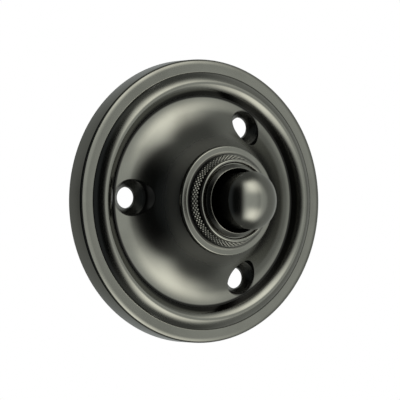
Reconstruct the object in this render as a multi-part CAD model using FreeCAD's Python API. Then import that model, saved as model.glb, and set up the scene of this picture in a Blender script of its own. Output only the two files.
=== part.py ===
import FreeCAD, Part
import math
import os

# Round bell push for a door frame, in dark bronzed brass, as it hangs on a wall.
# The wall is the plane y = 0 and the push faces -Y, with +Z up. The origin is the
# middle of the back face. A profile is written as (r, d) points: r is the distance
# from the push's axis, and d is the distance in front of the wall, so y = -d.
# Every length is in millimetres and every angle in degrees.

Vector = FreeCAD.Vector
os.makedirs("parts", exist_ok=True)

# Push button. The sizes run from the button outwards: each ring is set by the one inside it.
button_r = 7.4
head_stand = 6.7          # from the barrel's front end to the sharp edge of the head
head_overhang = 0.22      # head edge over the shank
head_edge = 0.25          # height of the plain band under that edge
dome_half_angle = 54.0    # slope of the dome where it meets its edge
travel = 2.5
pocket_wall = 2.5         # wall round the hollow for the return spring
pocket_cap = 6.05         # from the end of that hollow to the edge of the head
stem_r = 2.0
stem_clear = 0.3
groove_depth = 0.5        # groove for the retaining clip
pin_step = 0.7            # the stem's thin end is this much smaller in radius
tip_lip = 0.5             # tip over the stem
tip_gap = 0.75            # from the tip to the retaining clip
tip_wall = 1.2            # plastic past the stem's end
contact_push = 0.65       # how far the tip bends the moving contact at full travel

# Threaded barrel that passes through the rose from behind and guides the button.
button_fit = 0.06         # running fit of the button, on the radius
barrel_wall = 2.09
barrel_stand = 1.05       # from the nut's lip to the barrel's front end
barrel_chamfer = 0.92
front_land = 0.05         # flat ring between the chamfer and the mouth
mouth_depth = 1.3         # length of the tapered mouth
flange_step = 1.95        # flange behind the rose, over the thread
flange_t = 2.0
tail_step = 0.65          # the barrel behind the flange is this much thinner in radius
tail_length = 2.7
web_t = 1.8               # rear wall of the barrel
barrel_fit = 0.15         # between the thread and the plain hole in the rose

# Washer and clip that keep the button in the barrel.
washer_width = 1.6
washer_t = 0.4
clip_width = 1.0
clip_t = 0.6
clip_mouth = 2.2          # width of the clip's open side
clip_prong_w = 1.1
clip_prong_turn = 115.0   # from the middle prong to each side prong

# Return spring.
wire_r = 0.4
spring_clear = 0.9        # between the spring and the wall of its hollow
spring_turns = 4          # open turns, besides the closed one at each end
spring_gap = 0.1          # between a closed turn and the next
spring_ground = 0.1       # middle of the wire's end above its ground seat

# Lock washer between the barrel's flange and the rose.
lock_t = 0.4
lock_teeth = 12
lock_tooth_depth = 0.5

# Knurled ring nut, from its bore outwards and from the rose forwards.
nut_thread_fit = 0.1      # between the nut's thread and the barrel's
nut_neck_wall = 0.8       # thickness at the waist behind the lip
knurl_stand = 0.6         # front edge of the knurling over the waist
knurl_slant = 1.2         # the knurling narrows this much towards the front
nut_cove_width = 1.05     # hollow between the knurling and the flange
nut_land = 1.3            # flat of the flange
nut_flange_t = 1.15
nut_edge_round = 0.5
nut_cove_rise = 0.5
nut_cove_sag = 0.12
knurl_height = 1.55
knurl_depth = 0.35
knurl_core = 0.17         # plain turned core below the bottom of the grooves
knurl_count = 64
knurl_steps = 5           # half diamonds in the height of the band
nut_neck_height = 0.85
lip_gap = 0.35            # dark gap between the rolled lip and the barrel
lip_width = 1.05
lip_height = 0.95

# Contact base and its screws, at the back of the rose.
base_back = 3.4
base_t = 2.5
base_hole_clear = 0.8     # round the tip of the button
post_clear = 0.5          # from the barrel's flange to the fixing posts
post_wall = 1.05
post_edge = 2.8           # from the middle of a post to the edge of the base
post_hole_fit = 0.05      # between the screw's thread and its hole
post_hole_spare = 0.6     # hole past the end of the screw
base_screw_r = 1.1
base_screw_reach = 3.0    # how far the screw goes into the post
base_screw_head_r = 2.1
base_screw_head_t = 1.4
screw_clear = 0.2
slot_w = 0.6
slot_depth = 0.6

# Contacts and terminals.
terminal_inset = 6.5      # terminals, in from the edge of the base
strip_t = 0.3
strip_w = 5.0
contact_inset = 6.2       # contact point, in from the terminal beside it
contact_past = 1.3        # each strip past the middle of the contact point
dimple_r = 0.9
dimple_height = 0.35
fixed_clear = 0.9         # gap between the fixed contact and the wall
bend_run = 0.75           # sideways run of the bend in the fixed contact
bend_clear = 0.2          # from the clamp washer to that bend
point_r = 0.9             # silver point on the fixed contact
point_t = 0.4
clamp_side = 5.6
clamp_t = 0.6
terminal_head_r = 2.5
terminal_head_t = 1.5
terminal_r = 1.5
terminal_past = 0.4       # thread past the nut
hex_flats = 5.5
hex_t = 2.0

# Fixing holes for three countersunk wood screws.
hole_count = 3
hole_r = 2.8
hole_land = 1.1           # plain wall of the hole behind the cone
sink_r = 4.8              # rim of the countersink
sink_rise = 0.4           # the cone reaches its full radius this far in front of the crease
pad_r = 6.0               # thicker pad behind each hole
pad_clear = 0.45          # from the contact base to the pads

# Rose, the round plate that screws to the wall, from its middle outwards.
rose_wall = 2.0           # thickness of the casting
nut_overhang = 0.4        # flange of the nut over the neck
neck_straight = 0.89      # upright part of the neck
cone_width = 4.4          # straight cone behind the neck
cone_slope = 45.5         # slopes are measured from the face of the wall
turn_slope = 28.0         # slope of the bell-shaped middle where its skirt turns into its foot
foot_slope = 3.0          # slope where the foot leaves the crease
foot_radius = 10.4        # hollow of the foot
sink_land = 0.1           # from the countersinks to the crease
flank_width = 1.25        # straight slope from the bead down to the crease
flank_slope = 45.0
bead_in_radius = 5.5      # rounded inner side of the bead
crown_radius = 1.4        # tighter round along its top
crown_slope = 27.0        # slope where that round turns into each side
bead_out_radius = 6.3     # rounded outer side
bead_out_slope = 55.0     # slope at the outer foot of the bead
quirk_step = 0.36         # small sharp step down to the band
band_width = 1.84         # flat band round the bead
shoulder_radius = 2.93    # the band rounds over towards the edge
shoulder_slope = 22.0
rim_round = 0.8           # tighter round at the edge itself
rim_height = 6.5          # the band's front over the wall
corner_shift = 0.7        # how far the inside corners under the moulding lie towards its middle

# Radii worked out from the sizes above.
bore_r = button_r + button_fit
barrel_r = bore_r + barrel_wall
mouth_r = barrel_r - barrel_chamfer - front_land
flange_r = barrel_r + flange_step
tail_r = barrel_r - tail_step
pocket_r = button_r - pocket_wall
spring_mean_r = pocket_r - spring_clear - wire_r
collar_bore_r = stem_r + stem_clear
groove_r = stem_r - groove_depth
pin_r = stem_r - pin_step
tip_r = stem_r + tip_lip
nut_bore_r = barrel_r + nut_thread_fit
nut_neck_r = barrel_r + nut_neck_wall
knurl_top_r = nut_neck_r + knurl_stand
knurl_base_r = knurl_top_r + knurl_slant
nut_cove_r = knurl_base_r + nut_cove_width
nut_flange_r = nut_cove_r + nut_land
lip_bore_r = barrel_r + lip_gap
lip_r = lip_bore_r + lip_width
neck_r = nut_flange_r - nut_overhang
post_hole_r = base_screw_r + post_hole_fit
post_r = post_hole_r + post_wall
post_out = flange_r + post_clear + post_r
base_r = post_out + post_edge
hole_circle_r = base_r + pad_clear + pad_r
crease_r = hole_circle_r + sink_r + sink_land
bead_in_r = crease_r + flank_width
terminal_out = base_r - terminal_inset
contact_out = terminal_out - contact_inset
terminal_pad = clamp_side / 2 + strip_t + bend_clear

# Radius of the skirt's hollow, so that foot, skirt and cone just reach from crease to neck.
slope_foot, slope_turn, slope_cone = [math.radians(slope) for slope in (foot_slope, turn_slope, cone_slope)]
foot_run = foot_radius * (math.sin(slope_turn) - math.sin(slope_foot))
skirt_run = crease_r - neck_r - cone_width - foot_run
skirt_radius = skirt_run / (math.sin(slope_cone) - math.sin(slope_turn))

# Radii of the bead, the band and the edge, each worked out from the slopes of its rounds.
slope_flank, slope_crown = math.radians(flank_slope), math.radians(crown_slope)
slope_bead, slope_shoulder = math.radians(bead_out_slope), math.radians(shoulder_slope)
crown_in_r = bead_in_r + bead_in_radius * (math.sin(slope_flank) - math.sin(slope_crown))
crown_out_r = crown_in_r + 2 * crown_radius * math.sin(slope_crown)
step_r = crown_out_r + bead_out_radius * (math.sin(slope_bead) - math.sin(slope_crown))
shoulder_r = step_r + band_width
edge_r = shoulder_r + shoulder_radius * math.sin(slope_shoulder)
rose_r = edge_r + rim_round * (1 - math.sin(slope_shoulder))

# Levels in front of the wall, worked out from the sizes above.
edge_side = rim_height - shoulder_radius * (1 - math.cos(slope_shoulder))
rim_side = edge_side - rim_round * math.cos(slope_shoulder)
bead_foot = rim_height + quirk_step
crown_side = bead_foot + bead_out_radius * (math.cos(slope_crown) - math.cos(slope_bead))
bead_side = crown_side - bead_in_radius * (math.cos(slope_crown) - math.cos(slope_flank))
crease = bead_side - flank_width * math.tan(slope_flank)
foot_climb = foot_radius * (math.cos(slope_foot) - math.cos(slope_turn))
skirt_climb = skirt_radius * (math.cos(slope_turn) - math.cos(slope_cone))
neck_foot = crease + foot_climb + skirt_climb + cone_width * math.tan(slope_cone)
neck_height = neck_foot + neck_straight
neck_top_back = neck_height - rose_wall
sink_top = crease + sink_rise
pad_back = sink_top - (sink_r - hole_r) - hole_land
flange_front = neck_top_back - lock_t
flange_back = flange_front - flange_t
web_back = flange_back - tail_length
web_front = web_back + web_t
nut_face = neck_height + nut_flange_t
knurl_foot = nut_face + nut_cove_rise
knurl_top = knurl_foot + knurl_height
lip_back = knurl_top + nut_neck_height
lip_front = lip_back + lip_height
barrel_front = lip_front + barrel_stand
head_front = barrel_front + head_stand
pocket_front = head_front - pocket_cap
button_back = web_front + travel
washer_back = web_back - washer_t
clip_back = washer_back - clip_t
tip_back = base_back + travel - contact_push
stem_end = tip_back + tip_wall
tip_front = clip_back - tip_gap
base_front = base_back + base_t
strip_back = base_back - strip_t
clamp_back = strip_back - clamp_t
terminal_head_back = clamp_back - terminal_head_t


def at(r, d):
    """Point of a profile, r from the axis and d in front of the wall."""
    return Vector(r, -d, 0)


def line(a, b):
    return Part.LineSegment(at(*a), at(*b)).toShape()


def arc(a, middle, b):
    return Part.Arc(at(*a), at(*middle), at(*b)).toShape()


def chain(*points):
    """Straight edges through the points, in order."""
    return [line(a, b) for a, b in zip(points, points[1:])]


def turned(edges):
    """Solid turned about the push's axis from a closed run of edges."""
    face = Part.Face(Part.Wire(edges))
    return face.revolve(Vector(0, 0, 0), Vector(0, 1, 0), 360)


def rod(radius, back, front, x=0.0, z=0.0):
    """Round bar along the axis direction, from back to front."""
    return Part.makeCylinder(radius, front - back, Vector(x, -back, z), Vector(0, -1, 0))


def tube(outer, inner, back, front, x=0.0, z=0.0):
    return rod(outer, back, front, x, z).cut(rod(inner, back, front, x, z))


def block(x0, x1, back, front, z0, z1):
    return Part.makeBox(x1 - x0, front - back, z1 - z0, Vector(x0, -front, z0))


def on_circle(radius, angle):
    """x and z of a point on a circle about the axis, seen from the front."""
    turn = math.radians(angle)
    return radius * math.cos(turn), radius * math.sin(turn)


def bulge(a, b, height):
    """Arc from a to b that stands out by height to the front side of the chord."""
    (ra, da), (rb, db) = a, b
    length = math.hypot(rb - ra, db - da)
    middle = ((ra + rb) / 2 - height * (da - db) / length, (da + db) / 2 + height * (ra - rb) / length)
    return arc(a, middle, b)


def rounded(corner_r, corner_d, radius):
    """Quarter arc round an outer front corner, from its side to its front."""
    short = radius * (1 - math.sqrt(0.5))
    side = (corner_r, corner_d - radius)
    return arc(side, (corner_r - short, corner_d - short), (corner_r - radius, corner_d))


def swell_arc(start, radius, from_slope, to_slope):
    """Arc of a swelling, from the slope at its outer end to the one nearer the axis."""
    centre = start[0] - radius * math.sin(from_slope), start[1] - radius * math.cos(from_slope)
    slopes = from_slope, (from_slope + to_slope) / 2, to_slope
    points = [(centre[0] + radius * math.sin(slope), centre[1] + radius * math.cos(slope)) for slope in slopes]
    return arc(*points)


def hollow_arc(start, radius, from_slope, to_slope, offset):
    """Arc of a hollow that steepens from one slope to another, offset into the metal."""
    centre = start[0] + radius * math.sin(from_slope), start[1] + radius * math.cos(from_slope)
    slopes = from_slope, (from_slope + to_slope) / 2, to_slope
    reach = radius + offset
    return [(centre[0] - reach * math.sin(slope), centre[1] - reach * math.cos(slope)) for slope in slopes]


def bell_edges(offset):
    """Foot and skirt of the bell, offset into the metal, from the crease to the cone."""
    turn_point = crease_r - foot_run, crease + foot_climb
    foot = hollow_arc((crease_r, crease), foot_radius, slope_foot, slope_turn, offset)
    skirt = hollow_arc(turn_point, skirt_radius, slope_turn, slope_cone, offset)
    return foot[0], [arc(*foot), arc(*skirt)], skirt[-1]


def rose_form():
    """The rose filled solid to the wall, turned from its front outline."""
    bell_start, bell, cone_start = bell_edges(0.0)
    edges = chain((0, 0), (rose_r, 0), (rose_r, rim_side))
    edges.append(swell_arc((rose_r, rim_side), rim_round, math.pi / 2, slope_shoulder))
    edges.append(swell_arc((edge_r, edge_side), shoulder_radius, slope_shoulder, 0.0))
    edges += chain((shoulder_r, rim_height), (step_r, rim_height), (step_r, bead_foot))
    edges.append(swell_arc((step_r, bead_foot), bead_out_radius, slope_bead, slope_crown))
    edges.append(swell_arc((crown_out_r, crown_side), crown_radius, slope_crown, -slope_crown))
    edges.append(swell_arc((crown_in_r, crown_side), bead_in_radius, -slope_crown, -slope_flank))
    edges += chain((bead_in_r, bead_side), bell_start)
    edges += bell
    edges += chain(cone_start, (neck_r, neck_foot), (neck_r, neck_height), (0, neck_height), (0, 0))
    return turned(edges)


def rose_hollow():
    """Space behind the casting, one wall thickness inside the front outline."""
    bell_start, bell, cone_start = bell_edges(rose_wall)
    cone_end_r = cone_start[0] - (neck_top_back - cone_start[1]) / math.tan(slope_cone)
    inside_r = rose_r - rose_wall
    under_band = rim_height - rose_wall
    under_bead = crown_side - rose_wall
    edges = chain(
        (0, 0),
        (inside_r, 0),
        (inside_r, under_band),
        (step_r - corner_shift, under_band),
        (crown_out_r, under_bead),
        (crown_in_r, under_bead),
        bell_start,
    )
    edges += bell
    edges += chain(cone_start, (cone_end_r, neck_top_back), (0, neck_top_back), (0, 0))
    return turned(edges)


def fixing_places():
    """x and z of the screw holes, the first one level with the axis on the left."""
    step = 360.0 / hole_count
    return [on_circle(hole_circle_r, 180.0 + step * i) for i in range(hole_count)]


def post_places():
    return [(0.0, post_out), (0.0, -post_out)]


def terminal_places():
    return [(-terminal_out, 0.0), (terminal_out, 0.0)]


def countersink(x, z):
    """Cutter for one fixing hole: drill, cone and the straight sides above the cone."""
    cone_back = sink_top - (sink_r - hole_r)
    drill = rod(hole_r, 0, neck_height, x, z)
    cone = Part.makeCone(hole_r, sink_r, sink_top - cone_back, Vector(x, -cone_back, z), Vector(0, -1, 0))
    return drill.fuse(cone).fuse(rod(sink_r, sink_top, neck_height, x, z))


def make_rose():
    form = rose_form()
    hollow = rose_hollow()
    for x, z in fixing_places():
        hollow = hollow.cut(rod(pad_r, pad_back, neck_height, x, z))
    for x, z in post_places():
        hollow = hollow.cut(rod(post_r, base_front, neck_height, x, z))
    rose = form.cut(hollow)
    for x, z in fixing_places():
        rose = rose.cut(countersink(x, z))
    for x, z in post_places():
        rose = rose.cut(rod(post_hole_r, base_front, base_front + base_screw_reach + post_hole_spare, x, z))
    return rose.cut(rod(barrel_r + barrel_fit, neck_top_back, neck_height))


def make_barrel():
    chamfer_back = barrel_front - barrel_chamfer
    mouth_back = barrel_front - mouth_depth
    return turned(chain(
        (collar_bore_r, web_back),
        (tail_r, web_back),
        (tail_r, flange_back),
        (flange_r, flange_back),
        (flange_r, flange_front),
        (barrel_r, flange_front),
        (barrel_r, chamfer_back),
        (barrel_r - barrel_chamfer, barrel_front),
        (mouth_r, barrel_front),
        (bore_r, mouth_back),
        (bore_r, web_front),
        (collar_bore_r, web_front),
        (collar_bore_r, web_back),
    ))


def make_lock_washer():
    """Thin ring with cut teeth, clamped between the barrel's flange and the rose."""
    inner = barrel_r + barrel_fit
    ring = tube(flange_r, inner, flange_front, neck_top_back)
    notches = []
    for i in range(lock_teeth):
        x, z = on_circle(flange_r, 360.0 / lock_teeth * i)
        notches.append(rod(lock_tooth_depth, flange_front, neck_top_back, x, z))
    return ring.cut(notches)


def make_button():
    head_r = button_r + head_overhang
    turn = math.radians(dome_half_angle)
    ball_r = head_r / math.sin(turn)
    ball_centre = head_front - ball_r * math.cos(turn)
    half = turn / 2
    middle = (ball_r * math.sin(half), ball_centre + ball_r * math.cos(half))
    crown = (0, ball_centre + ball_r)
    edges = chain(
        (0, stem_end),
        (pin_r, stem_end),
        (pin_r, tip_front),
        (stem_r, tip_front),
        (stem_r, clip_back),
        (groove_r, clip_back),
        (groove_r, washer_back),
        (stem_r, washer_back),
        (stem_r, pocket_front),
        (pocket_r, pocket_front),
        (pocket_r, button_back),
        (button_r, button_back),
        (button_r, head_front - head_edge),
        (head_r, head_front - head_edge),
        (head_r, head_front),
    )
    edges.append(arc((head_r, head_front), middle, crown))
    edges += chain(crown, (0, stem_end))
    return turned(edges)


def make_tip():
    """Plastic cap on the end of the stem, which pushes the moving contact."""
    return rod(tip_r, tip_back, tip_front).cut(rod(pin_r, stem_end, tip_front))


def make_stem_washer():
    return tube(collar_bore_r + washer_width, collar_bore_r, washer_back, web_back)


def make_clip():
    """Spring clip with three prongs that snaps into the groove of the stem."""
    clip_r = collar_bore_r + clip_width
    ring = tube(clip_r, collar_bore_r, clip_back, washer_back)
    mouth = block(-clip_mouth / 2, clip_mouth / 2, clip_back, washer_back, -clip_r, 0)
    clip = ring.cut(mouth)
    root = (collar_bore_r + clip_r) / 2
    for angle in (90, 90 + clip_prong_turn, 90 - clip_prong_turn):
        prong = block(0, root, clip_back, washer_back, -clip_prong_w / 2, clip_prong_w / 2)
        prong.rotate(Vector(0, 0, 0), Vector(0, 1, 0), -angle)
        clip = clip.fuse(prong)
    return clip.cut(rod(groove_r, clip_back, washer_back)).removeSplitter()


def half_turn(back, front, turn):
    """Half a turn of the spring's wire, which climbs from back to front."""
    climb = (front - back) / 2
    radius = math.hypot(spring_mean_r, climb)
    half = Part.makeTorus(radius, wire_r, Vector(0, 0, 0), Vector(0, 0, 1), 0, 360, 180)
    half.rotate(Vector(0, 0, 0), Vector(0, 1, 0), math.degrees(math.atan2(climb, spring_mean_r)))
    half.rotate(Vector(0, 0, 0), Vector(0, 0, 1), turn)
    half.translate(Vector(0, 0, (back + front) / 2))
    half.rotate(Vector(0, 0, 0), Vector(1, 0, 0), 90)
    return half


def make_spring():
    """Compression spring with one closed turn at each end, ground flat on its seats."""
    closed = 2 * wire_r + spring_gap
    seat_back, seat_front = web_front + spring_ground, pocket_front - spring_ground
    pitch = (seat_front - seat_back - 2 * closed) / spring_turns
    climbs = [closed] + [pitch] * spring_turns + [closed]
    halves = []
    level = seat_back
    for climb in climbs:
        middle = level + climb / 2
        halves += [half_turn(level, middle, 0), half_turn(middle, level + climb, 180)]
        level += climb
    coil = halves[0].fuse(halves[1:])
    return coil.common(rod(pocket_r, web_front, pocket_front))


def knurl_point(step, half_tooth, raised):
    """Corner of the knurling: step counts up the band, half_tooth goes round it."""
    share = step / knurl_steps
    radius = knurl_base_r + (knurl_top_r - knurl_base_r) * share - (0.0 if raised else knurl_depth)
    x, z = on_circle(radius, 180.0 / knurl_count * half_tooth)
    return Vector(x, -(knurl_foot + knurl_height * share), z)


def flat_face(points):
    return Part.Face(Part.makePolygon(points + points[:1]))


def make_knurling():
    """Ring of pointed diamonds, left by two crossing sets of grooves."""
    faces = []
    around = 2 * knurl_count
    for step in range(knurl_steps + 1):
        for half in range(around):
            if (step + half) % 2 == 0:
                continue
            top = knurl_point(step, half, True)
            sides = knurl_point(step, half - 1, False), knurl_point(step, half + 1, False)
            for next_step in (step - 1, step + 1):
                if 0 <= next_step <= knurl_steps:
                    corner = knurl_point(next_step, half, False)
                    faces += [flat_face([top, side, corner]) for side in sides]
    inner_r = nut_neck_r - knurl_core
    for step in (0, knurl_steps):
        ring = [knurl_point(step, half, (step + half) % 2 == 1) for half in range(around)]
        centre = Vector(0, ring[0].y, 0)
        rim = Part.Wire(Part.makeCircle(inner_r, centre, Vector(0, 1, 0)))
        faces.append(Part.Face(Part.makePolygon(ring + ring[:1])).cut(Part.Face(rim)).Faces[0])
    wall = rod(inner_r, knurl_foot, knurl_top)
    faces.append([face for face in wall.Faces if face.Surface.TypeId == "Part::GeomCylinder"][0])
    shell = Part.makeShell(faces)
    shell.sewShape()
    band = Part.Solid(shell)
    if band.Volume < 0:
        band.reverse()
    return band


def make_nut():
    """Flanged ring nut that screws down the barrel and clamps the rose."""
    core_depth = knurl_depth + knurl_core
    lip_round = (lip_r - lip_bore_r) / 2
    lip_middle = lip_r - lip_round
    lip_side = lip_front - lip_round
    edge_back = nut_face - nut_edge_round
    edges = chain((nut_bore_r, neck_height), (nut_flange_r, neck_height), (nut_flange_r, edge_back))
    edges.append(rounded(nut_flange_r, nut_face, nut_edge_round))
    edges += chain((nut_flange_r - nut_edge_round, nut_face), (nut_cove_r, nut_face))
    edges.append(bulge((nut_cove_r, nut_face), (knurl_base_r, knurl_foot), -nut_cove_sag))
    edges += chain(
        (knurl_base_r, knurl_foot),
        (knurl_base_r - core_depth, knurl_foot),
        (knurl_top_r - core_depth, knurl_top),
        (nut_neck_r, knurl_top),
        (nut_neck_r, lip_back),
        (lip_r, lip_side),
    )
    edges.append(arc((lip_r, lip_side), (lip_middle, lip_front), (lip_bore_r, lip_side)))
    edges += chain((lip_bore_r, lip_side), (lip_bore_r, lip_back), (nut_bore_r, lip_back))
    edges += chain((nut_bore_r, lip_back), (nut_bore_r, neck_height))
    return turned(edges).fuse(make_knurling()).removeSplitter()


def make_base():
    """Round insulating plate that carries the contacts behind the button."""
    base = tube(base_r, tip_r + base_hole_clear, base_back, base_front)
    holes = [rod(base_screw_r + screw_clear, base_back, base_front, x, z) for x, z in post_places()]
    holes += [rod(terminal_r + screw_clear, base_back, base_front, x, z) for x, z in terminal_places()]
    return base.cut(holes)


def slotted_head(radius, thickness, back, x, z):
    head = rod(radius, back, back + thickness, x, z)
    slot = block(x - radius, x + radius, back, back + slot_depth, z - slot_w / 2, z + slot_w / 2)
    return head.cut(slot)


def make_base_screw(x, z):
    head_back = base_back - base_screw_head_t
    head = slotted_head(base_screw_head_r, base_screw_head_t, head_back, x, z)
    return head.fuse(rod(base_screw_r, base_back, base_front + base_screw_reach, x, z))


def strip(points, width):
    """Bent flat strip: its edge outline is given as x and d, and it lies across z = 0."""
    outline = [Vector(x, -d, -width / 2) for x, d in points]
    return Part.Face(Part.makePolygon(outline + outline[:1])).extrude(Vector(0, 0, width))


def make_leaf():
    """Springy moving contact, held under the left terminal and pushed at the middle."""
    x, z = terminal_places()[0]
    far, free = x - terminal_pad, contact_out + contact_past
    leaf = block(far, free, strip_back, base_back, -strip_w / 2, strip_w / 2)
    ball_r = (dimple_r ** 2 + dimple_height ** 2) / (2 * dimple_height)
    ball = Part.makeSphere(ball_r, Vector(contact_out, -(strip_back - dimple_height + ball_r), 0))
    dimple = ball.common(rod(dimple_r, strip_back - dimple_height, strip_back, contact_out, 0))
    return leaf.fuse(dimple).cut(rod(terminal_r + screw_clear, strip_back, base_back, x, z))


def make_fixed_contact():
    """Stiff contact bent out towards the wall, over the free end of the moving one."""
    x, z = terminal_places()[1]
    far, near = x + terminal_pad, x - terminal_pad
    free = contact_out - contact_past
    top = fixed_clear + strip_t
    knee = near + strip_t
    contact = strip([
        (far, strip_back),
        (far, base_back),
        (near, base_back),
        (near - bend_run, top),
        (free, top),
        (free, fixed_clear),
        (knee - bend_run, fixed_clear),
        (knee, strip_back),
    ], strip_w)
    return contact.cut(rod(terminal_r + screw_clear, strip_back, base_back, x, z))


def make_contact_point():
    """Silver point on the fixed contact, facing the dimple of the moving one."""
    front = fixed_clear + strip_t
    return rod(point_r, front, front + point_t, contact_out, 0)


def make_clamp_washer(x, z):
    half = clamp_side / 2
    plate = block(x - half, x + half, clamp_back, strip_back, z - half, z + half)
    return plate.cut(rod(terminal_r + screw_clear, clamp_back, strip_back, x, z))


def make_terminal_screw(x, z):
    head = slotted_head(terminal_head_r, terminal_head_t, terminal_head_back, x, z)
    return head.fuse(rod(terminal_r, clamp_back, base_front + hex_t + terminal_past, x, z))


def make_terminal_nut(x, z):
    corner_r = hex_flats / math.sqrt(3)
    corners = []
    for i in range(6):
        dx, dz = on_circle(corner_r, 60.0 * i)
        corners.append(Vector(x + dx, -base_front, z + dz))
    body = flat_face(corners).extrude(Vector(0, -hex_t, 0))
    return body.cut(rod(terminal_r, base_front, base_front + hex_t, x, z))


def all_parts():
    parts = {
        "rose": make_rose(),
        "guide_barrel": make_barrel(),
        "lock_washer": make_lock_washer(),
        "ring_nut": make_nut(),
        "push_button": make_button(),
        "return_spring": make_spring(),
        "stem_washer": make_stem_washer(),
        "retaining_clip": make_clip(),
        "insulating_tip": make_tip(),
        "contact_base": make_base(),
        "moving_contact": make_leaf(),
        "fixed_contact": make_fixed_contact(),
        "contact_point": make_contact_point(),
    }
    for i, (x, z) in enumerate(post_places(), start=1):
        parts["base_screw_%d" % i] = make_base_screw(x, z)
    for i, (x, z) in enumerate(terminal_places(), start=1):
        parts["clamp_washer_%d" % i] = make_clamp_washer(x, z)
        parts["terminal_screw_%d" % i] = make_terminal_screw(x, z)
        parts["terminal_nut_%d" % i] = make_terminal_nut(x, z)
    return parts


for name, shape in all_parts().items():
    shape.exportStep("parts/%s.step" % name)
    print(name, len(shape.Solids), shape.isValid(), round(shape.Volume, 2))
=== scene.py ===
import math
import bmesh
import bpy
from mathutils import Matrix, Vector


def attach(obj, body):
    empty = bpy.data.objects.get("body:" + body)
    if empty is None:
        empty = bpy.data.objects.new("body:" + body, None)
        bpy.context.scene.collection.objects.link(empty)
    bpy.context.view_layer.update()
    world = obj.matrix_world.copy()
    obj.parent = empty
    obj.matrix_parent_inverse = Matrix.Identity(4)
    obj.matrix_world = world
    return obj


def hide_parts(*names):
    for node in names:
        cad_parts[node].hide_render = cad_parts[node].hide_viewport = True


# Looks of a round door bell push: dark bronzed metal on a white ground.
# Metres, in the frame of the model: the wall is y = 0, the push faces -Y, +Z is up.

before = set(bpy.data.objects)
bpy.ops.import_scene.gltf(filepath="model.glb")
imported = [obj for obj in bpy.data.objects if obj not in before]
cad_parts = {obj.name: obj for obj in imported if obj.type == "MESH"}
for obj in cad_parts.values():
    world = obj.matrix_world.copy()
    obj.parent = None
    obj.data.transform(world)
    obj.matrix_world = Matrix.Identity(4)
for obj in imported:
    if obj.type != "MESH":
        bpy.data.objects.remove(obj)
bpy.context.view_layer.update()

# The camera stands in front of the push and to its left.
AXIS_AZIMUTH = math.radians(32.816)
AXIS_RISE = math.radians(0.455)
ROLL = math.radians(-2.3)
FOCAL_PIXELS = 2836.0
IMAGE_PIXELS = 400.0
SENSOR = 36.0
CAMERA_DISTANCE = 0.760
RIM_FRONT = Vector((0.0, -0.006, 0.0))
SHIFT_RIGHT = 0.000755
SHIFT_UP = -0.000298

# The light tent stands round this point.
MIDDLE = Vector((0.0, -0.015, 0.0))
TENT_RADIUS = 0.75
TENT_STEP = 4.0

FLOOR_LEVEL = -1.0
FLOOR_RADIUS = 1.6
FLOOR_SIDES = 64


def camera_axes():
    """Right, up and backward directions of the camera in the model's frame."""
    out = Vector((0.0, -1.0, 0.0))
    axis = Vector((
        math.sin(AXIS_AZIMUTH) * math.cos(AXIS_RISE),
        math.sin(AXIS_RISE),
        math.cos(AXIS_AZIMUTH) * math.cos(AXIS_RISE),
    ))
    across = Vector((0.0, 1.0, 0.0)).cross(axis).normalized()
    upward = axis.cross(across)
    seen = Matrix((across, upward, axis))
    own = Matrix((Vector((1.0, 0.0, 0.0)), Vector((0.0, 0.0, 1.0)), out))
    turn = Matrix.Rotation(ROLL, 3, "Y")
    return turn @ own.transposed() @ seen


def add_camera():
    axes = camera_axes()
    right, up, back = axes.col[0], axes.col[1], axes.col[2]
    place = RIM_FRONT - right * SHIFT_RIGHT - up * SHIFT_UP + back * CAMERA_DISTANCE
    data = bpy.data.cameras.new("camera")
    data.sensor_width = SENSOR
    data.lens = FOCAL_PIXELS / IMAGE_PIXELS * SENSOR
    data.clip_end = 20.0
    camera = bpy.data.objects.new("camera", data)
    camera.matrix_world = Matrix.Translation(place) @ axes.to_4x4()
    bpy.context.collection.objects.link(camera)
    bpy.context.scene.camera = camera
    return right, up, back


class Graph:
    """Shader nodes of one material or world; a value is a number, a vector or a socket."""

    def __init__(self, owner):
        owner.use_nodes = True
        self.nodes, self.links = owner.node_tree.nodes, owner.node_tree.links

    def put(self, socket, value):
        if isinstance(value, bpy.types.NodeSocket):
            self.links.new(value, socket)
        else:
            socket.default_value = value

    def add(self, kind, *values, **settings):
        node = self.nodes.new(kind)
        for key, value in settings.items():
            setattr(node, key, value)
        for socket, value in zip(node.inputs, values):
            self.put(socket, value)
        return node

    def math(self, operation, *values):
        return self.add("ShaderNodeMath", *values, operation=operation).outputs[0]

    def ramp(self, value, low, high):
        """0 at low and 1 at high, with a smooth rise or fall between them."""
        node = self.add("ShaderNodeMapRange", interpolation_type="SMOOTHSTEP")
        self.put(node.inputs["Value"], value)
        self.put(node.inputs["From Min"], min(low, high))
        self.put(node.inputs["From Max"], max(low, high))
        self.put(node.inputs["To Min"], 0.0 if low < high else 1.0)
        self.put(node.inputs["To Max"], 1.0 if low < high else 0.0)
        return node.outputs["Result"]

    def between(self, value, low, high, low_soft, high_soft):
        """1 from low to high, fading to 0 over the soft widths outside them."""
        rise = self.ramp(value, low - low_soft, low)
        fall = self.ramp(value, high + high_soft, high)
        return self.math("MULTIPLY", rise, fall)

    def noise(self, scale, detail, where, along="3D"):
        node = self.add("ShaderNodeTexNoise", noise_dimensions=along)
        self.put(node.inputs["W" if along == "1D" else "Vector"], where)
        node.inputs["Scale"].default_value = scale
        node.inputs["Detail"].default_value = detail
        return node.outputs[0]

    def blend(self, share, first, second):
        node = self.add("ShaderNodeMix", data_type="RGBA")
        self.put(node.inputs[0], share)
        self.put(node.inputs[6], first)
        self.put(node.inputs[7], second)
        return node.outputs[2]


def new_material(name):
    material = bpy.data.materials.new(name)
    return material, Graph(material)


CREAM = Vector((1.0, 0.97, 0.87))
GREY = Vector((0.97, 1.0, 0.95))
COOL = Vector((0.84, 0.94, 1.0))

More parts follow.
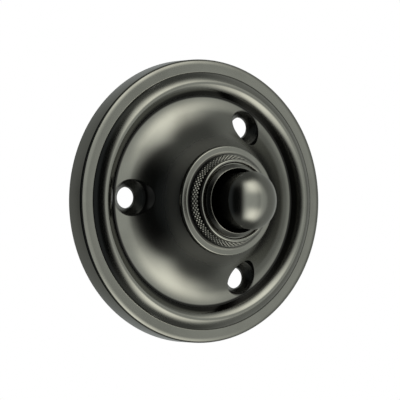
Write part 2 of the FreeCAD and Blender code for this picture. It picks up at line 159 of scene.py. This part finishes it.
# Lit parts of the tent: name, range of turn, range of rise, strength and colour. A turn of 0
# is towards the camera and grows to its right. A range is low, high, soft below and soft above.
TENT = [
    ("front_wall", (20, 42, 22, 48), (-46, 46, 26, 26), 1.02, GREY),
    ("softbox_upper", (41, 50, 38, 43), (41, 47, 29, 21), 1.9, CREAM),
    ("softbox_lower", (41, 50, 38, 43), (-47, -41, 21, 29), 1.9, CREAM),
    ("edge_board", (70, 84, 10, 14), (-45, 45, 25, 25), 0.45, GREY),
    ("right_wall", (100, 150, 45, 40), (-38, 38, 30, 30), 0.42, GREY),
    ("far_wall", (165, 180, 38, 1), (-45, 45, 30, 30), 0.12, GREY),
    ("top", (-20, 180, 40, 1), (70, 90, 38, 1), 0.17, GREY),
    ("bottom", (-20, 180, 40, 1), (-90, -70, 1, 38), 0.15, GREY),
    ("left_wall", (-180, -122, 1, 26), (-62, 62, 28, 28), 0.3, GREY),
    ("left_board", (-46, -32, 14, 8), (-50, 50, 30, 30), 0.06, COOL),
    ("far_left_wall", (-180, -165, 1, 34), (-50, 50, 30, 30), 0.1, COOL),
]
TENT_DARK = 0.006


def tent_material():
    material, graph = new_material("tent")
    graph.nodes.remove(graph.nodes["Principled BSDF"])
    place = graph.add("ShaderNodeUVMap", uv_map="turn_and_rise")
    split = graph.add("ShaderNodeSeparateXYZ", place.outputs[0])
    turn = graph.math("MULTIPLY", split.outputs[0], 360.0)
    rise = graph.math("MULTIPLY", split.outputs[1], 360.0)
    total = tuple(COOL * TENT_DARK)
    for name, turns, rises, strength, colour in TENT:
        across = graph.between(turn, *turns)
        upright = graph.between(rise, *rises)
        scaled = graph.add("ShaderNodeVectorMath", operation="SCALE")
        scaled.inputs[0].default_value = tuple(colour * strength)
        graph.put(scaled.inputs["Scale"], graph.math("MULTIPLY", across, upright))
        summed = graph.add("ShaderNodeVectorMath", total, scaled.outputs[0], operation="ADD")
        total = summed.outputs[0]
    light = graph.add("ShaderNodeEmission", total, 1.0)
    graph.links.new(light.outputs[0], graph.nodes["Material Output"].inputs["Surface"])
    return material


def steps(start, end):
    count = round((end - start) / TENT_STEP)
    return [start + (end - start) * i / count for i in range(count + 1)]


def add_tent():
    """Light tent all round the push, which lights it as softboxes and boards do."""
    turns, rises = steps(-180, 180), steps(-88, 88)
    points, faces = [], []
    for turn in turns:
        for rise in rises:
            a, b = math.radians(turn), math.radians(rise)
            level = RIGHT * math.sin(a) * math.cos(b) + BACK * math.cos(a) * math.cos(b)
            way = level + UP * math.sin(b)
            points.append(MIDDLE + way * TENT_RADIUS)
    rows = len(rises)
    for i in range(len(turns) - 1):
        for j in range(rows - 1):
            corner = i * rows + j
            faces.append((corner, corner + 1, corner + rows + 1, corner + rows))
    mesh = bpy.data.meshes.new("tent")
    mesh.from_pydata([tuple(point) for point in points], [], faces)
    layer = mesh.uv_layers.new(name="turn_and_rise")
    for loop in mesh.loops:
        i, j = divmod(loop.vertex_index, rows)
        layer.data[loop.index].uv = (turns[i] / 360.0, rises[j] / 360.0)
    mesh.materials.append(tent_material())
    tent = bpy.data.objects.new("tent", mesh)
    bpy.context.collection.objects.link(tent)
    tent.visible_camera = False
    tent.visible_shadow = False


def seen_directly(graph):
    """1 where the camera, a reflection or glass looks, and 0 where light only falls."""
    path = graph.add("ShaderNodeLightPath")
    seen = graph.math("MAXIMUM", path.outputs["Is Camera Ray"], path.outputs["Is Glossy Ray"])
    return graph.math("MAXIMUM", seen, path.outputs["Is Transmission Ray"])


def white_ground():
    """World that is plain white where the camera, a reflection or glass sees it."""
    world = bpy.data.worlds.new("studio")
    bpy.context.scene.world = world
    graph = Graph(world)
    white = (1.0, 1.0, 1.0, 1.0)
    lit = graph.nodes["Background"]
    lit.inputs["Color"].default_value = white
    lit.inputs["Strength"].default_value = 0.5
    shown = graph.add("ShaderNodeBackground", white, 1.0)
    mix = graph.add("ShaderNodeMixShader", seen_directly(graph), lit.outputs[0], shown.outputs[0])
    graph.links.new(mix.outputs[0], graph.nodes["World Output"].inputs["Surface"])


def add_floor():
    """Pale round floor, well below the push."""
    turns = [math.tau * i / FLOOR_SIDES for i in range(FLOOR_SIDES)]
    rim = [
        (FLOOR_RADIUS * math.cos(turn), FLOOR_RADIUS * math.sin(turn), FLOOR_LEVEL)
        for turn in turns
    ]
    mesh = bpy.data.meshes.new("floor")
    mesh.from_pydata(rim, [], [tuple(range(FLOOR_SIDES))])
    material, graph = new_material("pale_floor")
    shader = graph.nodes["Principled BSDF"]
    shader.inputs["Base Color"].default_value = (0.85, 0.85, 0.84, 1.0)
    shader.inputs["Roughness"].default_value = 0.8
    glow = graph.add("ShaderNodeEmission", (1.0, 1.0, 1.0, 1.0), 1.0)
    share = graph.math("MULTIPLY", seen_directly(graph), 0.85)
    mix = graph.add("ShaderNodeMixShader", share, shader.outputs[0], glow.outputs[0])
    graph.links.new(mix.outputs[0], graph.nodes["Material Output"].inputs["Surface"])
    mesh.materials.append(material)
    floor = bpy.data.objects.new("floor", mesh)
    bpy.context.collection.objects.link(floor)


# Screw holes of the rose: middles on a circle, the first level with the axis on the left.
# The cone of a countersink ends SINK_FRONT in front of the wall, and its upright wall begins.
HOLE_CIRCLE = 0.02345
HOLE_RIM = 0.0048
SINK_FRONT = 0.0070

# Radii on the rose: the painted shade in the crease round the bell, the rougher finish with
# painted shade that grows towards the neck, and the turned side of the rim.
CREASE_SHADE_BAND = (0.02805, 0.0293, 0.0005, 0.0008)
DULL_AND_SHADE_FROM, DULL_AND_SHADE_TO = 0.0185, 0.0150
SIDE_FROM, SIDE_TO = 0.0375, 0.0378

# How far a face has to look towards the wall to show the rough cast back.
CAST_FROM, CAST_TO = 0.1, 0.4

# Knurled band of the ring nut: levels in front of the wall, radii of its points, and its depth.
KNURL_BACK = 0.018936
KNURL_FRONT = 0.020486
KNURL_BACK_R = 0.01215
KNURL_FRONT_R = 0.01095
KNURL_DEPTH = 0.00035

# Painted shade in the root of the cove behind the knurling: its radius and level, each with a soft
# edge. The painted shade is darkest on the side that lies left of the axis.
COVE_SHADE_R, COVE_SOFT = 0.01275, 0.0003
COVE_LEVEL_FROM, COVE_LEVEL_TO = KNURL_BACK + 0.0003, KNURL_BACK + 0.0001
COVE_RIGHT, COVE_LEFT = 0.002, -0.008

# Level of the back edge of the button's head.
HEAD_BACK = 0.02983

# Grain of the bronze: noise scale and height in metres, for each kind of mark.
GRAIN = (5200.0, 2.0e-6)
SINK_MARKS = (3500.0, 1.5e-5)
SIDE_MARKS = (2500.0, 6.0e-6)
CAST_MARKS = (900.0, 6.0e-5)

BRONZE = (0.21, 0.21, 0.19, 1.0)
BRONZE_ROUGHNESS = 0.17
# Darker bronze: the rough cast back's own colour, and patina with painted shade in the
# countersinks and at the neck.
DARK_BRONZE_AND_SHADE = (0.045, 0.045, 0.045, 1.0)
# Black for painted shade in the countersink walls, the crease, the knurling, the nut's cove and on
# the button's shank.
PAINTED_SHADE_BLACK = (0.012, 0.012, 0.012, 1.0)


class Surface:
    """Metal or plastic whose marks are placed by the object's own coordinates."""

    def __init__(self, name, colour, roughness, metallic=1.0):
        self.material, self.graph = new_material(name)
        graph = self.graph
        self.shader = graph.nodes["Principled BSDF"]
        self.shader.inputs["Metallic"].default_value = metallic
        place = graph.add("ShaderNodeTexCoord")
        self.where = place.outputs["Object"]
        self.facing = graph.add("ShaderNodeSeparateXYZ", place.outputs["Normal"]).outputs[1]
        x, y, z = graph.add("ShaderNodeSeparateXYZ", self.where).outputs
        self.flat = graph.add("ShaderNodeCombineXYZ", x, 0.0, z).outputs[0]
        length = graph.add("ShaderNodeVectorMath", self.flat, operation="LENGTH")
        self.radius = length.outputs["Value"]
        self.depth = graph.math("MULTIPLY", y, -1.0)
        self.across = x
        self.colour = colour
        self.roughness = roughness
        self.height = 0.0

    def cloud(self, scale, low, high, darker, rougher):
        """Uneven patina, which darkens the plain colour and dulls it in patches."""
        graph = self.graph
        patch = graph.ramp(graph.noise(scale, 5.0, self.where), low, high)
        shade = tuple(part * darker for part in self.colour[:3]) + (1.0,)
        self.colour = graph.blend(patch, self.colour, shade)
        self.roughness = graph.math("MULTIPLY_ADD", patch, rougher, self.roughness)

    def relief(self, value, height):
        """Fine relief of the given height in metres where the value is 1."""
        self.height = self.graph.math("MULTIPLY_ADD", value, height, self.height)

    def tint(self, share, colour, rougher=0.0):
        graph = self.graph
        self.colour = graph.blend(share, self.colour, colour)
        self.roughness = graph.math("MULTIPLY_ADD", share, rougher, self.roughness)

    def done(self):
        graph = self.graph
        graph.put(self.shader.inputs["Base Color"], self.colour)
        graph.put(self.shader.inputs["Roughness"], self.roughness)
        bump = graph.add("ShaderNodeBump")
        graph.put(bump.inputs["Height"], self.height)
        bump.inputs["Distance"].default_value = 1.0
        graph.links.new(bump.outputs[0], self.shader.inputs["Normal"])
        return self.material


def bronze(name):
    """Dark bronze with a faint uneven patina and grain."""
    surface = Surface(name, BRONZE, BRONZE_ROUGHNESS)
    surface.cloud(90.0, 0.45, 0.75, 0.86, 0.05)
    surface.relief(surface.graph.noise(GRAIN[0], 2.0, surface.where), GRAIN[1])
    return surface


def rose_bronze():
    """Bronze of the rose: turned countersinks and rim, patina and painted shade in the
    countersinks, painted shade in the crease, a rougher finish with painted shade towards the
    neck, rough cast back.
    """
    surface = bronze("bronze_rose")
    graph = surface.graph
    nearest = 1.0
    for i in range(3):
        angle = math.radians(180.0 + 120.0 * i)
        middle = (HOLE_CIRCLE * math.cos(angle), 0.0, HOLE_CIRCLE * math.sin(angle))
        away = graph.add("ShaderNodeVectorMath", surface.flat, middle, operation="DISTANCE")
        nearest = graph.math("MINIMUM", nearest, away.outputs["Value"])
    inside = graph.ramp(nearest, HOLE_RIM + 0.00012, HOLE_RIM + 0.00004)
    # Countersinks half-darkened: partly patina, partly painted shade.
    surface.tint(graph.math("MULTIPLY", inside, 0.5), DARK_BRONZE_AND_SHADE, 0.1)
    # Painted shade: the upright wall of each countersink, deep in the hole, is black.
    wall = graph.ramp(surface.depth, SINK_FRONT, SINK_FRONT + 0.0003)
    surface.tint(graph.math("MULTIPLY", inside, wall), PAINTED_SHADE_BLACK, 0.0)
    # Painted shade: the crease round the bell is nearly black.
    crease = graph.between(surface.radius, *CREASE_SHADE_BAND)
    surface.tint(graph.math("MULTIPLY", crease, 0.95), PAINTED_SHADE_BLACK, 0.0)
    # Towards the neck the finish grows rougher, and painted shade next to the nut darkens it.
    neck = graph.ramp(surface.radius, DULL_AND_SHADE_FROM, DULL_AND_SHADE_TO)
    surface.tint(graph.math("MULTIPLY", neck, 0.25), DARK_BRONZE_AND_SHADE, 1.0)
    turning = graph.noise(SINK_MARKS[0], 2.0, nearest, "1D")
    surface.relief(graph.math("MULTIPLY", turning, inside), SINK_MARKS[1])
    side = graph.ramp(surface.radius, SIDE_FROM, SIDE_TO)
    lines = graph.noise(SIDE_MARKS[0], 3.0, surface.depth, "1D")
    surface.relief(graph.math("MULTIPLY", lines, side), SIDE_MARKS[1])
    rough = graph.ramp(surface.facing, CAST_FROM, CAST_TO)
    surface.tint(graph.math("MULTIPLY", rough, 0.5), DARK_BRONZE_AND_SHADE, 0.5)
    cast = graph.noise(CAST_MARKS[0], 4.0, surface.where)
    surface.relief(graph.math("MULTIPLY", cast, rough), CAST_MARKS[1])
    return surface.done()


def nut_bronze():
    """Bronze of the ring nut, with painted shade that is black between the points of the knurling
    and in the cove.
    """
    surface = bronze("bronze_nut")
    graph = surface.graph
    slant = (KNURL_FRONT_R - KNURL_BACK_R) / (KNURL_FRONT - KNURL_BACK)
    points = graph.math("MULTIPLY_ADD", surface.depth, slant, KNURL_BACK_R - KNURL_BACK * slant)
    below = graph.math("SUBTRACT", points, surface.radius)
    # Painted shade: black between the points of the knurling.
    knurl_shade = graph.ramp(below, 0.4 * KNURL_DEPTH, 0.85 * KNURL_DEPTH)
    band = graph.between(surface.depth, KNURL_BACK, KNURL_FRONT, 0.00005, 0.00005)
    surface.tint(graph.math("MULTIPLY", knurl_shade, band), PAINTED_SHADE_BLACK, 0.3)
    # Painted shade in the root of the cove, darkest on the left of the axis.
    root = graph.ramp(surface.radius, COVE_SHADE_R + COVE_SOFT, COVE_SHADE_R)
    behind = graph.ramp(surface.depth, COVE_LEVEL_FROM, COVE_LEVEL_TO)
    leftward = graph.ramp(surface.across, COVE_RIGHT, COVE_LEFT)
    left = graph.math("MULTIPLY_ADD", leftward, 0.75, 0.2)
    cove = graph.math("MULTIPLY", root, behind)
    surface.tint(graph.math("MULTIPLY", cove, left), PAINTED_SHADE_BLACK, 0.2)
    return surface.done()


def button_bronze():
    """Bronze of the button, with painted shade that keeps the shank behind the head black."""
    surface = bronze("bronze_button")
    # Painted shade: the shank behind the head is black.
    shank = surface.graph.ramp(surface.depth, HEAD_BACK, HEAD_BACK - 0.0001)
    surface.tint(shank, PAINTED_SHADE_BLACK, 0.1)
    return surface.done()


def plain(name, colour, roughness, metallic, scale, darker, height):
    """Plain metal or plastic with uneven patches and a fine grain."""
    surface = Surface(name, (*colour, 1.0), roughness, metallic)
    surface.cloud(scale, 0.4, 0.7, darker, 0.1)
    surface.relief(surface.graph.noise(scale * 12.0, 2.0, surface.where), height)
    return surface.done()


# Finely turned bodies, in millimetres.
# A point (r, d) is r from the axis and d in front of the wall.
MM = 0.001
TURN_SIDES = 256
HOLE_SIDES = 96
POST_SIDES = 32
ARC_STEPS = 14
ROUND_STEPS = 4
ARRIS = 0.12
CORNER = math.radians(20.0)
SHARP_EDGE = math.radians(24.0)
WALL_SIDE = -1.0


def arc_slopes(from_slope, to_slope):
    a, b = math.radians(from_slope), math.radians(to_slope)
    return [a + (b - a) * i / ARC_STEPS for i in range(ARC_STEPS + 1)]


def swell(start, radius, from_slope, to_slope):
    """Points of a swelling arc, from the slope at its outer end to the one nearer the axis."""
    slopes = arc_slopes(from_slope, to_slope)
    centre = start[0] - radius * math.sin(slopes[0]), start[1] - radius * math.cos(slopes[0])
    return [(centre[0] + radius * math.sin(s), centre[1] + radius * math.cos(s)) for s in slopes]


def hollow(start, radius, from_slope, to_slope, offset=0.0):
    """Points of a hollow arc that steepens towards the axis, offset into the metal."""
    slopes = arc_slopes(from_slope, to_slope)
    centre = start[0] + radius * math.sin(slopes[0]), start[1] + radius * math.cos(slopes[0])
    reach = radius + offset
    return [(centre[0] - reach * math.sin(s), centre[1] - reach * math.cos(s)) for s in slopes]


def softened(points, radius=ARRIS):
    """The outline with its sharp corners rounded, except where it meets the axis."""
    outline = []
    for i, here in enumerate(points):
        if here[0] == 0.0:
            outline.append(here)
            continue
        corner = Vector(here)
        back = Vector(points[i - 1]) - corner
        onward = Vector(points[(i + 1) % len(points)]) - corner
        turn = math.pi - back.angle(onward)
        if turn < CORNER:
            outline.append(here)
            continue
        cut = min(radius * math.tan(turn / 2), 0.45 * back.length, 0.45 * onward.length)
        start, end = corner + back.normalized() * cut, corner + onward.normalized() * cut
        for k in range(ROUND_STEPS + 1):
            t = k / ROUND_STEPS
            outline.append(tuple(start * (1 - t) ** 2 + corner * (2 * t * (1 - t)) + end * t ** 2))
    return outline


def bridge(ring, following):
    """Faces between two rings of corners; one may be a single point or have half as many."""
    if len(ring) < len(following):
        return [face[::-1] for face in bridge(following, ring)]
    count, fewer = len(ring), len(following)
    if count == 1:
        return []
    if fewer == 1:
        return [(ring[i], ring[(i + 1) % count], following[0]) for i in range(count)]
    if count == fewer:
        return [
            (ring[i], ring[(i + 1) % count], following[(i + 1) % count], following[i])
            for i in range(count)
        ]
    return [
        (ring[2 * i], ring[2 * i + 1], ring[(2 * i + 2) % count],
         following[(i + 1) % fewer], following[i])
        for i in range(fewer)
    ]


def finish_mesh(mesh):
    """Turns every face outwards and smooths the curved ones."""
    shape = bmesh.new()
    shape.from_mesh(mesh)
    bmesh.ops.recalc_face_normals(shape, faces=shape.faces)
    shape.to_mesh(mesh)
    shape.free()
    mesh.shade_smooth()
    mesh.set_sharp_from_angle(angle=SHARP_EDGE)


def body(name, points, faces):
    mesh = bpy.data.meshes.new(name)
    mesh.from_pydata(points, [], faces)
    finish_mesh(mesh)
    piece = bpy.data.objects.new(name, mesh)
    bpy.context.collection.objects.link(piece)
    return piece


def turned(name, outline, sides=TURN_SIDES, middle=(0.0, 0.0)):
    """Solid turned from a closed outline, which may begin and end on the axis."""
    points, rings, faces = [], [], []
    for r, d in outline:
        count = 1 if r == 0.0 else sides
        rings.append([len(points) + i for i in range(count)])
        for i in range(count):
            turn = math.tau * i / sides
            x, z = middle[0] + r * math.cos(turn), middle[1] + r * math.sin(turn)
            points.append((x * MM, -d * MM, z * MM))
    for ring, following in zip(rings, rings[1:] + rings[:1]):
        faces += bridge(ring, following)
    return body(name, points, faces)


def carve(piece, tool):
    """Cuts the tool out of the piece and removes the tool."""
    change = piece.modifiers.new("carve", "BOOLEAN")
    change.operation, change.solver, change.object = "DIFFERENCE", "EXACT", tool
    view = bpy.context.evaluated_depsgraph_get()
    result = bpy.data.meshes.new_from_object(piece.evaluated_get(view))
    piece.modifiers.clear()
    piece.data = result
    bpy.data.objects.remove(tool)


def rod(radius, back, front, middle=(0.0, 0.0), sides=HOLE_SIDES):
    outline = [(0.0, back), (radius, back), (radius, front), (0.0, front)]
    return turned("rod", outline, sides, middle)


# Rose, from its rim inwards. Its back is hollow, with bosses behind the screw holes and two
# posts that the contact base is screwed to.
ROSE_R, ROSE_WALL = 38.002, 2.0
CREASE_R, CREASE = 28.35, 6.598
BELL_TURN = (24.012, 7.801)
SKIRT_RADIUS = 22.61
STEP_R, BAND, BEAD_FOOT = 34.564, 6.5, 6.86
CROWN_OUT_R, CROWN_IN_R, CROWN = 32.263, 30.992, 8.86
NECK_R, NECK_FOOT, NECK = 14.1, 16.395, 17.285
NECK_BACK = NECK - ROSE_WALL
PAD_R, PAD_BACK = 6.0, 3.898
POST_R, POST_OUT, POST_BACK, POST_HOLE_R, POST_HOLE_END = 2.2, 14.2, 5.9, 1.15, 9.5
HOLE_R, SINK_R, CONE_BACK, SINK_TOP = 2.8, 4.8, 4.998, 6.998
BORE_R = 9.7


def fine_rose():
    front = [(0.0, 0.0), (ROSE_R, 0.0)]
    front += swell((ROSE_R, 5.545), 0.8, 90.0, 22.0)
    front += swell((37.501, 6.287), 2.93, 22.0, 0.0)[1:]
    front += [(STEP_R, BAND)] + swell((STEP_R, BEAD_FOOT), 6.3, 55.0, 27.0)
    front += swell((CROWN_OUT_R, CROWN), 1.4, 27.0, -27.0)[1:]
    front += swell((CROWN_IN_R, CROWN), 5.5, -27.0, -45.0)[1:]
    front += hollow((CREASE_R, CREASE), 10.4, 3.0, 28.0)
    front += hollow(BELL_TURN, SKIRT_RADIUS, 28.0, 45.5)[1:]
    front += [(NECK_R, NECK_FOOT), (NECK_R, NECK), (0.0, NECK)]
    inner = hollow((CREASE_R, CREASE), 10.4, 3.0, 28.0, ROSE_WALL)
    inner += hollow(BELL_TURN, SKIRT_RADIUS, 28.0, 45.5, ROSE_WALL)[1:]
    cone_end = inner[-1][0] - (NECK_BACK - inner[-1][1]) / math.tan(math.radians(45.5))
    space = turned("space", [
        (0.0, WALL_SIDE),
        (ROSE_R - ROSE_WALL, WALL_SIDE),
        (ROSE_R - ROSE_WALL, BAND - ROSE_WALL),
        (STEP_R - 0.7, BAND - ROSE_WALL),
        (CROWN_OUT_R, CROWN - ROSE_WALL),
        (CROWN_IN_R, CROWN - ROSE_WALL),
        *inner,
        (cone_end, NECK_BACK),
        (0.0, NECK_BACK),
    ], TURN_SIDES // 2)
    for i in range(3):
        angle = math.radians(180.0 + 120.0 * i)
        middle = HOLE_CIRCLE / MM * math.cos(angle), HOLE_CIRCLE / MM * math.sin(angle)
        carve(space, rod(PAD_R, PAD_BACK, NECK, middle))
    for side in (1, -1):
        carve(space, rod(POST_R, POST_BACK, NECK, (0.0, side * POST_OUT)))
    rose = turned("rose_casting", softened(front))
    carve(rose, space)
    for i in range(3):
        angle = math.radians(180.0 + 120.0 * i)
        middle = HOLE_CIRCLE / MM * math.cos(angle), HOLE_CIRCLE / MM * math.sin(angle)
        sink = [
            (0.0, WALL_SIDE), (HOLE_R, WALL_SIDE), (HOLE_R, CONE_BACK - 0.2),
            (HOLE_R + 0.04, CONE_BACK - 0.04), (HOLE_R + 0.14, CONE_BACK + 0.14),
            (SINK_R, SINK_TOP), (SINK_R, NECK), (0.0, NECK),
        ]
        carve(rose, turned("sink", sink, HOLE_SIDES, middle))
    for side in (1, -1):
        middle = (0.0, side * POST_OUT)
        carve(rose, rod(POST_HOLE_R, POST_BACK - 1.0, POST_HOLE_END, middle, POST_SIDES))
    carve(rose, rod(BORE_R, NECK_BACK - 1.0, NECK + 1.0, (0.0, 0.0), TURN_SIDES))
    finish_mesh(rose.data)
    return rose


# Ring nut: flange, cove, knurled band, waist and rolled lip.
KNURL_TEETH, KNURL_ROWS = 64, 5
NUT_R, NUT_BORE_R, NUT_FACE = 14.6, 9.65, 18.435
NUT_ROUND = 0.5
COVE_R, COVE_RADIUS, COVE_SLOPE = 13.3, 1.35, 53.0
WAIST_R, WAIST_FRONT, WAIST_STEP = 10.35, 21.335, 0.52
LIP_R, LIP_BORE_R, LIP_SIDE = 11.1, 9.9, 21.72


def fine_nut():
    back_r, front_r = KNURL_BACK_R / MM, KNURL_FRONT_R / MM
    back, front, deep = KNURL_BACK / MM, KNURL_FRONT / MM, KNURL_DEPTH / MM
    flange = [(NUT_BORE_R, NECK), (NUT_R, NECK)]
    flange += swell((NUT_R, NUT_FACE - NUT_ROUND), NUT_ROUND, 90.0, 0.0)
    flange += hollow((COVE_R, NUT_FACE), COVE_RADIUS, 0.0, COVE_SLOPE)
    lip_round = (LIP_R - LIP_BORE_R) / 2
    lip = [(front_r - WAIST_STEP, front), (WAIST_R, front), (WAIST_R, WAIST_FRONT)]
    lip += swell((LIP_R, LIP_SIDE), lip_round, 90.0, -90.0)
    lip += [(LIP_BORE_R, WAIST_FRONT), (NUT_BORE_R, WAIST_FRONT)]
    points, rings, faces = [], [], []

    def add_ring(radii, level):
        rings.append([len(points) + i for i in range(len(radii))])
        for i, r in enumerate(radii):
            turn = math.tau * i / len(radii)
            points.append((r * math.cos(turn) * MM, -level * MM, r * math.sin(turn) * MM))

    for r, d in flange:
        add_ring([r] * (4 * KNURL_TEETH), d)
    first_row = len(rings)
    for row in range(KNURL_ROWS + 1):
        share = row / KNURL_ROWS
        high = back_r + (front_r - back_r) * share
        radii = [high - (0.0 if (row + half) % 2 else deep) for half in range(2 * KNURL_TEETH)]
        add_ring(radii, back + (front - back) * share)
    for r, d in lip:
        add_ring([r] * (4 * KNURL_TEETH), d)
    for index, ring in enumerate(rings):
        following = rings[(index + 1) % len(rings)]
        if first_row <= index < first_row + KNURL_ROWS:
            faces += diamonds(ring, following, index - first_row)
        else:
            faces += bridge(ring, following)
    return body("knurled_nut", points, faces)


def diamonds(ring, following, row):
    """Facets of one row of the knurling, each split between its two low corners."""
    count, faces = len(ring), []
    for i in range(count):
        j = (i + 1) % count
        if (row + i) % 2:
            faces += [(ring[i], ring[j], following[i]), (ring[j], following[j], following[i])]
        else:
            faces += [(ring[i], ring[j], following[j]), (ring[i], following[j], following[i])]
    return faces


def fine_barrel():
    return turned("barrel_turned", softened([
        (2.3, 10.185), (8.9, 10.185), (8.9, 12.885), (11.5, 12.885), (11.5, 14.885),
        (9.55, 14.885), (9.55, 22.415), (8.605, 23.335), (7.46, 22.035), (7.46, 11.985),
        (2.3, 11.985),
    ]))


HEAD_R, HEAD_EDGE = 7.62, 30.035
DOME_SLOPE = 54.0


def fine_button():
    ball_r = HEAD_R / math.sin(math.radians(DOME_SLOPE))
    dome = swell((HEAD_R, HEAD_EDGE), ball_r, DOME_SLOPE, 0.0)
    crown = (0.0, dome[-1][1])
    return turned("button_turned", softened([
        (0.0, 6.45), (1.3, 6.45), (1.3, 8.435), (2.0, 8.435), (2.0, 9.185), (1.5, 9.185),
        (1.5, 9.785), (2.0, 9.785), (2.0, 23.985), (4.9, 23.985), (4.9, 14.485), (7.4, 14.485),
        (7.4, 29.785), (HEAD_R, 29.785), *dome[:-1], crown,
    ]))


RIGHT, UP, BACK = add_camera()
white_ground()
add_tent()
add_floor()

common_bronze = bronze("bronze").done()
plated = plain("plated_steel", (0.66, 0.66, 0.63), 0.28, 1.0, 500.0, 0.85, 2e-6)
spring = plain("spring_steel", (0.56, 0.56, 0.55), 0.24, 1.0, 600.0, 0.8, 1e-6)
brass = plain("bare_brass", (0.72, 0.56, 0.29), 0.26, 1.0, 400.0, 0.82, 2e-6)
strip = plain("phosphor_bronze", (0.71, 0.48, 0.31), 0.27, 1.0, 400.0, 0.82, 1e-6)
silver = plain("silver", (0.8, 0.8, 0.78), 0.2, 1.0, 500.0, 0.85, 1e-6)
board = plain("insulator", (0.16, 0.1, 0.07), 0.5, 0.0, 700.0, 0.6, 8e-6)
plastic = plain("white_plastic", (0.83, 0.82, 0.78), 0.42, 0.0, 300.0, 0.93, 4e-6)
FINISH = {
    "rose": rose_bronze(),
    "ring_nut": nut_bronze(),
    "guide_barrel": common_bronze,
    "push_button": button_bronze(),
    "lock_washer": plated,
    "stem_washer": plated,
    "base_screw_1": plated,
    "base_screw_2": plated,
    "return_spring": spring,
    "retaining_clip": spring,
    "insulating_tip": plastic,
    "contact_base": board,
    "moving_contact": strip,
    "fixed_contact": strip,
    "contact_point": silver,
}
for name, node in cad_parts.items():
    node.data.materials.clear()
    node.data.materials.append(FINISH.get(name, brass))

FINE = {
    "rose": (fine_rose(), "fixed"),
    "ring_nut": (fine_nut(), "fixed"),
    "guide_barrel": (fine_barrel(), "fixed"),
    "push_button": (fine_button(), "button"),
}
for name, (piece, moves_with) in FINE.items():
    piece.data.materials.clear()
    piece.data.materials.append(FINISH[name])
    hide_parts(name)
    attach(piece, moves_with)

bpy.context.scene.view_settings.view_transform = "Standard"
